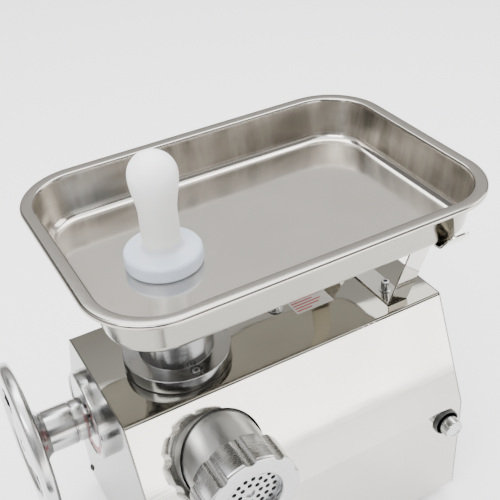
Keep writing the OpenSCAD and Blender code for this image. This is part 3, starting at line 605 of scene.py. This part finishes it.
def rounded(corners, steps=6, closed=True):
    """Points along an outline of (x, y, radius) corners, each rounded to its radius."""
    points = []
    for i, (x, y, radius) in enumerate(corners):
        here = Vector((x, y))
        if not radius or (not closed and i in (0, len(corners) - 1)):
            points.append((x, y))
            continue
        before = Vector(corners[i - 1][:2]) - here
        after = Vector(corners[(i + 1) % len(corners)][:2]) - here
        before.normalize()
        after.normalize()
        half = before.angle(after) / 2
        centre = here + (before + after).normalized() * (radius / math.sin(half))
        first = here + before * (radius / math.tan(half)) - centre
        last = here + after * (radius / math.tan(half)) - centre
        sweep = math.atan2(first.x * last.y - first.y * last.x, first.dot(last))
        for k in range(steps + 1):
            angle = sweep * k / steps
            points.append((centre.x + first.x * math.cos(angle) - first.y * math.sin(angle),
                           centre.y + first.x * math.sin(angle) + first.y * math.cos(angle)))
    return points


def ring_profile(corners, steps=4):
    """A closed lathe profile: rounded corners, with the first point repeated at the end."""
    points = rounded(corners, steps)
    return [*points, points[0]]


def mm(*rows):
    """Rows of millimetre sizes as metres."""
    return [tuple(value * MM for value in row) for row in rows]


def fit(piece, body, slot, *nodes, finish=None):
    """Dresses a piece, fixes it to its body and hides the CAD nodes it stands for."""
    piece.data.materials.clear()
    piece.data.materials.append(materials[finish or slot])
    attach(piece, body)
    if nodes:
        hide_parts(*nodes)
    return piece


# ---- Feed tray and pusher ----

SHEET = 1.5 * MM        # thickness of the tray's and the housing's steel
RIM_CORNER = 65 * MM    # the rim's outer corner radius
RIM_FLAT = 13 * MM      # width of the rim, seen from above
RIM_DROP = 4 * MM       # how far the rim's outer edge is turned down
RIM_BEND = 2.6 * MM     # where the rim's edge turns down
LIP_BEND = 1.8 * MM     # where the rim turns down into the wall
FLOOR_BEND = 9 * MM     # where the wall turns into the floor
WALL_IN = 7 * MM        # how far a wall leans in from top to bottom
THROAT = 26.5 * MM      # radius of the way down through tray and neck
NEAR = 0.1 * MM         # heights closer than this are the same


def make_tray():
    """The drawn tray, with its rim turned down and the throat's hole through its floor."""
    lo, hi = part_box("tray")
    spigot_lo, spigot_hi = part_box("tray_spigot")
    length, width = hi.x - lo.x, hi.y - lo.y
    depth = hi.z - lo.z - SHEET
    piece = start("feed_tray", bpy.ops.mesh.primitive_plane_add, size=1)
    bpy.ops.transform.resize(value=(length, width, 1))
    bpy.ops.mesh.bevel(offset=RIM_CORNER, segments=24, affect="VERTICES")
    select("FACE", lambda face: True)
    bpy.ops.mesh.inset(thickness=RIM_FLAT, depth=0)
    bpy.ops.mesh.inset(thickness=WALL_IN, depth=-depth)

    def level(edge, height):
        return all(abs(v.co.z - height) < NEAR for v in edge.verts)

    def meets_slope(edge, most):
        return any(abs(face.normal.z) < most for face in edge.link_faces)

    def round_edges(test, radius, segments):
        select("EDGE", test)
        bpy.ops.mesh.bevel(offset=radius, segments=segments, affect="EDGES")

    round_edges(lambda e: level(e, -depth), FLOOR_BEND, 8)
    round_edges(lambda e: level(e, 0) and not e.is_boundary and meets_slope(e, 0.9), LIP_BEND, 4)
    select("EDGE", lambda e: e.is_boundary)
    bpy.ops.mesh.extrude_edges_move(TRANSFORM_OT_translate={"value": (0, 0, -RIM_DROP)})
    round_edges(lambda e: level(e, 0) and meets_slope(e, 0.1), RIM_BEND, 6)
    close_shape(outward=False)
    for finish in ("tray_inside", "tray_steel"):
        piece.data.materials.append(materials[finish])
    apply_modifier(piece, "SOLIDIFY", thickness=SHEET, offset=-1, use_even_offset=True,
                   material_offset=1, material_offset_rim=1)
    place(piece, ((lo.x + hi.x) / 2, (lo.y + hi.y) / 2, hi.z))
    spot = ((spigot_lo.x + spigot_hi.x) / 2, (spigot_lo.y + spigot_hi.y) / 2, lo.z - 5 * MM)
    cut(piece, rod("throat_cut", (spigot_hi.x - spigot_lo.x) / 2, 12 * MM, spot, sides=96))
    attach(piece, "tray_body")
    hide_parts("tray")


def make_pusher():
    """The pusher: a rod in the throat, a disc over it, and a waisted stem with a ball to hold."""
    lo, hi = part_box("pusher")
    disc = (hi.x - lo.x) / 2
    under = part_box("tray")[0].z + SHEET + 0.3 * MM - lo.z
    top = hi.z - lo.z
    ball, stem, shaft = 22.7 * MM, 17.8 * MM, 25 * MM
    disc_side, disc_top = under + 15.5 * MM, under + 18 * MM
    ball_z = top - ball
    waist_z = ball_z - 38 * MM
    foot = rounded([(0, 0, 0), (shaft, 0, 2.5 * MM), (shaft, under, 0), (disc, under, 2.5 * MM),
                    (disc, disc_side, 4.5 * MM), (stem + 0.5 * MM, disc_top, 4 * MM),
                    (stem, waist_z, 0)], steps=8, closed=False)
    steps = 16
    swell = []
    for k in range(1, steps):
        share = k / steps
        ease = (1 - math.cos(math.pi * share)) / 2
        swell.append((stem + (ball - stem) * ease, waist_z + (ball_z - waist_z) * share))
    dome = [(ball * math.cos(a), ball_z + ball * math.sin(a))
            for a in [math.pi / 2 * k / steps for k in range(steps)]]
    piece = turned("pusher_handle", [*foot, *swell, *dome, (0, top)],
                   ((lo.x + hi.x) / 2, (lo.y + hi.y) / 2, lo.z), steps=96, smooth=50)
    fit(piece, "pusher_body", "pusher_plastic", "pusher")


# ---- Feed neck and what stands on the top plate ----

def make_neck():
    """The turned feed neck, with two socket screws sunk in wells in its flange."""
    lo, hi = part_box("feed_neck")
    flange = (hi.x - lo.x) / 2
    height = hi.z - lo.z
    tube, flange_t = 37.8 * MM, 15.2 * MM
    seat, recess = 30.08 * MM, height - 12.3 * MM
    screw_reach = 44 * MM
    well, well_depth = 6 * MM, 7 * MM
    centre = Vector(((lo.x + hi.x) / 2, (lo.y + hi.y) / 2, lo.z))
    profile = ring_profile([
        (THROAT, 0, 0), (flange, 0, 0.8 * MM), (flange, flange_t, 0.9 * MM),
        (tube, flange_t, 0.4 * MM), (tube, height, 0.3 * MM), (seat, height, 0), (seat, recess, 0),
        (THROAT, recess, 0)])
    piece = turned("feed_neck_body", profile, centre, steps=128)
    wells = []
    for angle in (-90, 90):
        arm = Vector((math.cos(math.radians(angle)), math.sin(math.radians(angle)), 0))
        spot = centre + arm * screw_reach

        def up(depth):
            return spot + Vector((0, 0, flange_t - depth))

        wells.append(rod("well", well, 20 * MM, up(well_depth)))
        ring = turned(f"neck_screw_ring_{angle % 360}", ring_profile(mm(
            (4.2, 0, 0.3), (5.9, 0, 0), (5.9, 2.8, 0.6), (4.2, 2.8, 0.5))), up(3.1 * MM), steps=48)
        fit(ring, "housing", "rubber_black")
        head = turned(f"neck_screw_head_{angle % 360}", rounded(mm(
            (0, 0, 0), (4.1, 0, 0), (4.1, 7, 0.8), (0, 7, 0)), 4, False), up(7.2 * MM), steps=48)
        cut(head, rod("hexagon", 2.4 * MM, 8 * MM, up(3.4 * MM), sides=6))
        fit(head, "housing", "zinc_screw")
    cut(piece, *wells)
    fit(piece, "housing", "machined_steel", "feed_neck")


def make_bracket():
    """The bent strip that carries the tray: two legs, two shelves, and a round-ended lip on each."""
    lo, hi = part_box("tray_bracket")
    middle = (lo.y + hi.y) / 2
    sheet = 2 * MM
    base = lo.z + sheet / 2
    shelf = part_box("tray")[0].z - 0.3 * MM - sheet / 2
    foot_y, shelf_y, bend_y, tip_y, lip_up = (size * MM for size in (50, 91.5, 122, 136, 19))
    half = [(foot_y, base, 2 * MM), (shelf_y, shelf, 3 * MM), (bend_y, shelf, 6 * MM),
            (tip_y, shelf + lip_up, 0)]
    path = [(middle - y, z, radius) for y, z, radius in reversed(half)]
    path += [(middle + y, z, radius) for y, z, radius in half]
    piece = trace("tray_bracket_strip",
                  [(lo.x, y, z) for y, z in rounded(path, steps=5, closed=False)])
    bpy.ops.mesh.select_all(action="SELECT")
    bpy.ops.mesh.extrude_edges_move(TRANSFORM_OT_translate={"value": (hi.x - lo.x, 0, 0)})
    select("VERT", lambda v: v.co.z > shelf + lip_up - NEAR)
    bpy.ops.mesh.bevel(offset=9 * MM, segments=10, affect="VERTICES")
    close_shape()
    apply_modifier(piece, "SOLIDIFY", thickness=sheet, offset=0, use_even_offset=True)
    turn_outwards(piece)
    soften(piece, 0.4 * MM)
    fit(piece, "housing", "polished_steel", "tray_bracket")


def make_socket_studs():
    """The two tall socket screws, each on its washer, that hold the tray bracket."""
    lo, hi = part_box("bracket_screws")
    foot_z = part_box("tray_bracket")[0].z + 2 * MM
    height = hi.z - foot_z
    washer, washer_t, head = 6.5 * MM, 1.2 * MM, 4.5 * MM
    for name, y in (("bracket_screw_front", lo.y + head), ("bracket_screw_back", hi.y - head)):
        x = (lo.x + hi.x) / 2
        stud = turned(name, rounded([
            (0, 0, 0), (washer, 0, 0.3 * MM), (washer, washer_t, 0.3 * MM), (head, washer_t, 0.3 * MM),
            (head, height, 0.7 * MM), (0, height, 0)], steps=3, closed=False), (x, y, foot_z), steps=48)
        cut(stud, rod("hexagon", 2.5 * MM, 8 * MM, (x, y, hi.z - 5 * MM), sides=6))
        fit(stud, "housing", "zinc_screw", *(["bracket_screws"] if name.endswith("front") else []))


def make_domed_bolt():
    """A low domed bolt on its washer."""
    lo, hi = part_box("domed_bolt")
    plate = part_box("top_plate")[1].z
    spot = ((lo.x + hi.x) / 2, (lo.y + hi.y) / 2, plate)
    profile = rounded(mm((0, 0, 0), (8.5, 0, 0.3), (8.5, 1.4, 0.4), (6.6, 1.4, 0.2), (6.6, 2.6, 0.5),
                         (4.6, 5.3, 2.4), (0, 6.3, 0)), steps=5, closed=False)
    bolt = turned("domed_bolt_head", profile, spot, steps=64, smooth=40)
    fit(bolt, "housing", "zinc_screw", "domed_bolt")


def make_label():
    """A blank information label with plain bars."""
    lo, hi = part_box("info_label")
    length, width = hi.x - lo.x, hi.y - lo.y
    spot = Vector(((lo.x + hi.x) / 2, (lo.y + hi.y) / 2, lo.z))
    film_t, bar_t = 0.25 * MM, 0.08 * MM
    bar_w, bar_gap, first_bar = 1.7 * MM, 4.3 * MM, 4.6 * MM

    def plate(name, x0, y0, long, wide, corner, steps, thickness, rise):
        outline = rounded([(x0, y0, corner), (x0 + long, y0, corner),
                           (x0 + long, y0 + wide, corner), (x0, y0 + wide, corner)], steps)
        return slab(name, outline, thickness, spot + Vector((0, 0, rise)))

    film = plate("info_label_film", -length / 2, -width / 2, length, width, 1.5 * MM, 5, film_t, 0)
    fit(film, "housing", "label_film", "info_label")
    for row, share in enumerate((0.86, 0.62, 0.80, 0.70, 0.44)):
        bar = plate(f"info_label_bar_{row + 1}", -length * 0.45, width / 2 - first_bar - row * bar_gap,
                    length * share * 0.92, bar_w, 0.5 * MM, 3, bar_t, film_t)
        fit(bar, "housing", "red_print")


# ---- Housing ----

BEND_Z = 153 * MM       # height of the fold across the front and back panels
EDGE = 0.25 * MM        # softened edge of a cut sheet
VENT_ROWS = 9


def side_path(top_y, low_y, top_z, base_z, inward):
    """The middle layer of a side panel, from its top edge down over the fold to the base."""
    plate_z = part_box("top_plate")[1].z
    slope = (top_y - low_y) / (plate_z - BEND_Z)
    shift = inward * SHEET / 2
    edge_y = top_y - slope * (plate_z - top_z)
    return rounded([(edge_y + shift, top_z, 0), (low_y + shift, BEND_Z, 6 * MM),
                    (low_y + shift, base_z, 0)], steps=8, closed=False)


def vent_slots(cover_lo):
    """Two columns of slots, joined into one cutter for the rear cover."""
    half, rise, corner = 23 * MM, 2 * MM, 1.95 * MM
    outline = rounded([(-half, -rise, corner), (half, -rise, corner), (half, rise, corner),
                       (-half, rise, corner)], 4)
    slots = []
    for y in (cover_lo.y + 85 * MM, cover_lo.y + 175 * MM):
        for row in range(VENT_ROWS):
            z = (94 + row * 12) * MM
            slots.append(slab("vent", outline, 10 * MM, (cover_lo.x - 4 * MM, y, z), "end"))
    return join(slots)


def make_housing():
    """The housing's sheets: a folded top plate, folded front and back, and two flat ends."""
    plate_lo, plate_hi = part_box("top_plate")
    front_lo, front_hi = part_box("front_panel")
    back_lo, back_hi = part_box("back_panel")
    neck_lo, neck_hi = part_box("feed_neck")
    neck = Vector(((neck_lo.x + neck_hi.x) / 2, (neck_lo.y + neck_hi.y) / 2, plate_lo.z))
    x0, x1 = plate_lo.x, plate_hi.x

    z = plate_hi.z - SHEET / 2
    y0, y1 = plate_lo.y + SHEET / 2, plate_hi.y - SHEET / 2
    lip_z, lip_bend = plate_hi.z - 2.2 * MM, 1.2 * MM
    top = sheet_along("top_plate_sheet", rounded(
        [(y0, lip_z, 0), (y0, z, lip_bend), (y1, z, lip_bend), (y1, lip_z, 0)], 4, False), x0, x1, SHEET)
    cut(top, rod("throat_cut", THROAT, 30 * MM, neck - Vector((0, 0, 10 * MM)), sides=96))
    soften(top, EDGE)
    # The top plate takes the darker copy of the sheet steel: painted shade for its dark reflections.
    fit(top, "housing", "polished_steel", "top_plate", finish="plate_steel")

    gap_z = front_hi.z - 0.6 * MM
    front = sheet_along("front_panel_sheet", side_path(
        plate_lo.y, front_lo.y, gap_z, front_lo.z, 1), x0, x1, SHEET)
    worm_lo, worm_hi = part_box("worm")
    switch_lo, switch_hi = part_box("switch_unit")
    ahead_y = front_lo.y - 10 * MM
    barrel_spot = (neck.x, ahead_y, (worm_lo.z + worm_hi.z) / 2)
    switch_spot = ((switch_lo.x + switch_hi.x) / 2, ahead_y, (switch_lo.z + switch_hi.z) / 2)
    cut(front, rod("barrel_cut", 45 * MM, 90 * MM, barrel_spot, "+Y", 128),
        rod("switch_cut", 10.5 * MM, 20 * MM, switch_spot, "+Y", 48))
    soften(front, EDGE)
    fit(front, "housing", "polished_steel", "front_panel")

    back = sheet_along("back_panel_sheet", side_path(
        plate_hi.y, back_hi.y, gap_z, back_lo.z, -1), x0, x1, SHEET)
    soften(back, EDGE)
    fit(back, "housing", "polished_steel", "back_panel")

    for name, node in (("left_end_sheet", "left_end_plate"), ("rear_cover_sheet", "rear_cover")):
        lo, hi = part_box(node)
        foot, fold, corner = 0.6 * MM, 6 * MM, 2.5 * MM
        outline = rounded([(lo.y, lo.z, foot), (hi.y, lo.z, foot), (hi.y, BEND_Z, fold),
                           (plate_hi.y, hi.z, corner), (plate_lo.y, hi.z, corner),
                           (lo.y, BEND_Z, fold)], steps=6)
        end = slab(name, outline, hi.x - lo.x, (lo.x, 0, 0), "end")
        if node == "rear_cover":
            cut(end, vent_slots(lo))
        soften(end, 0.3 * MM)
        # The end plates take the darker copy of the sheet steel: painted shade for their dark
        # reflections.
        fit(end, "housing", "polished_steel", node, finish="end_steel")


# ---- Hand wheel and its clamp ----

def clamp_axis():
    """The Y and Z of the axis that the boss, sleeve and hand wheel share."""
    lo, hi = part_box("clamp_boss")
    return (lo.y + hi.y) / 2, (lo.z + hi.z) / 2


def make_clamp():
    """The recessed boss on the end plate, and the sleeve between it and the hand wheel."""
    plate_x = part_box("left_end_plate")[0].x
    boss_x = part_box("clamp_boss")[0].x
    boss = turned("clamp_boss_ring", ring_profile(mm(
        (12.05, 0, 0), (48, 0, 0), (48, 12, 2.6), (44.4, 12, 0.5), (43.9, 10.5, 0.3),
        (12.05, 10.5, 0))), (plate_x, *clamp_axis()), "-X", 128)
    fit(boss, "housing", "machined_steel", "clamp_boss", finish="machined_boss")

    sleeve_lo, sleeve_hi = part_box("clamp_sleeve")
    end = (sleeve_hi.x - sleeve_lo.x) / MM
    step = (sleeve_hi.x - (boss_x + 0.5 * MM)) / MM
    sleeve = turned("clamp_sleeve_body", ring_profile(mm(
        (6.3, 0, 0), (12, 0, 0.5), (12, step, 0), (22.5, step, 1.0), (22.5, 37.4, 0.5),
        (21.3, 37.9, 0.2), (21.3, 38.9, 0.2), (22.5, 39.4, 0.5), (22.5, end, 0.4), (6.3, end, 0))),
        (sleeve_hi.x, *clamp_axis()), "-X", 96)
    fit(sleeve, "wheel_body", "machined_steel", "clamp_sleeve", finish="machined_boss")


def window_cutters(rim_in):
    """The wheel's windows as one cutter: rounded wedges from the hub's foot to the rim."""
    count, spread, hub_r = 5, math.radians(25), 37 * MM
    windows = []
    for k in range(count):
        middle = TURN * k / count
        corners = []
        for radius, ends in ((hub_r, (-0.55, 0.55)), (rim_in - 1.5 * MM, (0.98, -0.98))):
            for share in (ends[0], ends[0] * 0.34, ends[1] * 0.34, ends[1]):
                angle = middle + share * spread
                rounding = 5 * MM if abs(share) > 0.5 else 0
                corners.append((radius * math.cos(angle), radius * math.sin(angle), rounding))
        windows.append(slab("window", rounded(corners, 5), 60 * MM, (0, 0, -10 * MM)))
    return join(windows)


def make_handwheel():
    """The cast hand wheel: a dished disc between hub and rim, with dark walls in its windows, painted
    near-black as painted shade for the dark reflections in them.
    """
    lo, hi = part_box("handwheel")
    outer = (hi.z - lo.z) / 2
    span = hi.x - lo.x
    rim_in = outer - 20 * MM
    back = span - 14 * MM
    hub, hub_top = 22.5 * MM, span - 3 * MM
    profile = rounded([
        (0, 0, 0), (hub, 0, 0), (hub + 2 * MM, 4 * MM, 6 * MM), (35 * MM, 12.5 * MM, 10 * MM),
        (rim_in, back + 2.5 * MM, 5 * MM), (rim_in + 4 * MM, back, 2.5 * MM), (outer, back, 5 * MM),
        (outer, span, 5.5 * MM), (rim_in, span, 4 * MM), (rim_in - 3 * MM, span - 4.5 * MM, 2 * MM),
        (34 * MM, hub_top, 8 * MM), (25 * MM, span - 0.5 * MM, 3 * MM),
        (11 * MM, span - 0.5 * MM, 1 * MM), (10 * MM, hub_top, 0.5 * MM), (0, hub_top, 0)],
        steps=6, closed=False)
    wheel = turned("handwheel_casting", profile, (0, 0, 0), steps=160)
    cutter = window_cutters(rim_in)
    # The cutter's faces become the window walls and take the near-black material: painted shade for the
    # dark reflections there.
    for finish in ("wheel_metal", "window_paint"):
        wheel.data.materials.append(materials[finish])
        cutter.data.materials.append(materials[finish])
    bpy.ops.object.mode_set(mode="EDIT")
    bpy.ops.mesh.select_all(action="SELECT")
    cutter.active_material_index = 1
    bpy.ops.object.material_slot_assign()
    bpy.ops.object.mode_set(mode="OBJECT")
    cut(wheel, cutter)
    soften(wheel, 0.8 * MM, 3, 40)
    place(wheel, (hi.x, *clamp_axis()), "-X")
    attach(wheel, "wheel_body")
    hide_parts("handwheel")


def make_turn_arrow():
    """A generic curved arrow in red round the boss's recess."""
    face_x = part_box("turn_arrow_label")[1].x
    inner, outer = 35 * MM, 42 * MM
    first, last, head = math.radians(165), math.radians(330), 0.22
    steps = 48

    def at(radius, angle):
        return radius * math.cos(angle), radius * math.sin(angle)

    angles = [first + (last - first) * k / steps for k in range(steps + 1)]
    outline = [at(outer, angle) for angle in angles]
    outline.append(at((inner + outer) / 2, last + head))
    outline += [at(inner, angle) for angle in reversed(angles)]
    arrow = slab("turn_arrow_film", outline, 0.3 * MM, (face_x, *clamp_axis()), "-X")
    fit(arrow, "housing", "red_print", "turn_arrow_label")


# ---- Outlet, feet and controls ----

def make_outlet():
    """The ring nut, with a shallow groove for each finger."""
    lo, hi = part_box("ring_nut")
    worm_lo, worm_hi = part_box("worm")
    axis_x, axis_z = (worm_lo.x + worm_hi.x) / 2, (worm_lo.z + worm_hi.z) / 2
    outer = (hi.x - lo.x) / 2 + 0.1 * MM
    depth = hi.y - lo.y
    mouth, inside, front_t = 31 * MM, 43.05 * MM, 7.7 * MM
    nut = turned("outlet_ring_nut", ring_profile([
        (mouth, 0, 1.5 * MM), (outer, 0, 4 * MM), (outer, depth, 2.5 * MM), (inside, depth, 0),
        (inside, front_t, 0), (mouth, front_t, 0)]), (0, 0, 0), steps=144)
    count, groove, reach = 10, 8 * MM, outer + 4 * MM
    grips = []
    for k in range(count):
        angle = TURN * (k + 0.5) / count
        grips.append(rod("grip", groove, 80 * MM,
                         (reach * math.cos(angle), reach * math.sin(angle), -20 * MM)))
    cut(nut, join(grips))
    soften(nut, 0.9 * MM, 3, 40)
    place(nut, (axis_x, lo.y, axis_z), "+Y")
    fit(nut, "outlet_nut", "machined_steel", "ring_nut", finish="machined_nut")


def make_feet():
    """Four moulded feet, each hollow under its screw."""
    lo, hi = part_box("rubber_feet")
    reach = 20 * MM
    for k, (x, y) in enumerate(((lo.x + reach, lo.y + reach), (hi.x - reach, lo.y + reach),
                                (lo.x + reach, hi.y - reach), (hi.x - reach, hi.y - reach))):
        foot = turned(f"rubber_foot_{k + 1}", ring_profile(mm(
            (8, 0, 0.8), (16, 0, 2.2), (17.4, 7, 1), (18.2, 8, 0.8), (20, 20, 1.2), (3, 20, 0),
            (3, 10, 0), (8, 10, 0))), (x, y, lo.z), steps=64)
        fit(foot, "housing", "rubber_black", *(["rubber_feet"] if k == 0 else []))


def make_switch():
    """The selector: a ribbed metal knob that turns in a black bezel."""
    lo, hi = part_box("switch_knob")
    x, z = (lo.x + hi.x) / 2, (lo.z + hi.z) / 2
    length = (hi.y - lo.y) / MM
    knob = turned("switch_knob_cap", rounded(mm(
        (0, 0, 0), (8, 0, 0.5), (8, length - 13, 0), (11.5, length - 13, 0.6), (11.5, length, 1.6),
        (8.5, length, 1.2), (7.6, length - 1.2, 0.6), (0, length - 1.2, 0)), 4, False),
        (x, hi.y, z), "-Y", 64)
    count, reach = 18, 11.9 * MM
    ribs = []
    for k in range(count):
        angle = TURN * k / count
        spot = (x + reach * math.cos(angle), lo.y - 3 * MM, z + reach * math.sin(angle))
        ribs.append(rod("rib", 0.9 * MM, 16 * MM, spot, "+Y", 12))
    cut(knob, join(ribs))
    fit(knob, "knob_body", "wheel_metal", "switch_knob")
    bezel = turned("switch_bezel", ring_profile(mm(
        (8.2, 0, 0), (15.5, 0, 0), (15.5, 3, 1.4), (9.5, 3, 0.8), (8.2, 1.6, 0))),
        (x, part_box("switch_unit")[0].y + 3 * MM, z), "-Y", 64)
    fit(bezel, "housing", "black_plastic")


make_camera()
make_stage()
make_world()
for light in LIGHTS:
    make_light(*light)
for flag in FLAGS:
    make_flag(*flag)
materials = make_materials()
dress_nodes(materials)
make_tray()
make_pusher()
make_neck()
make_bracket()
make_socket_studs()
make_domed_bolt()
make_label()
make_housing()
make_clamp()
make_handwheel()
make_turn_arrow()
make_outlet()
make_feet()
make_switch()
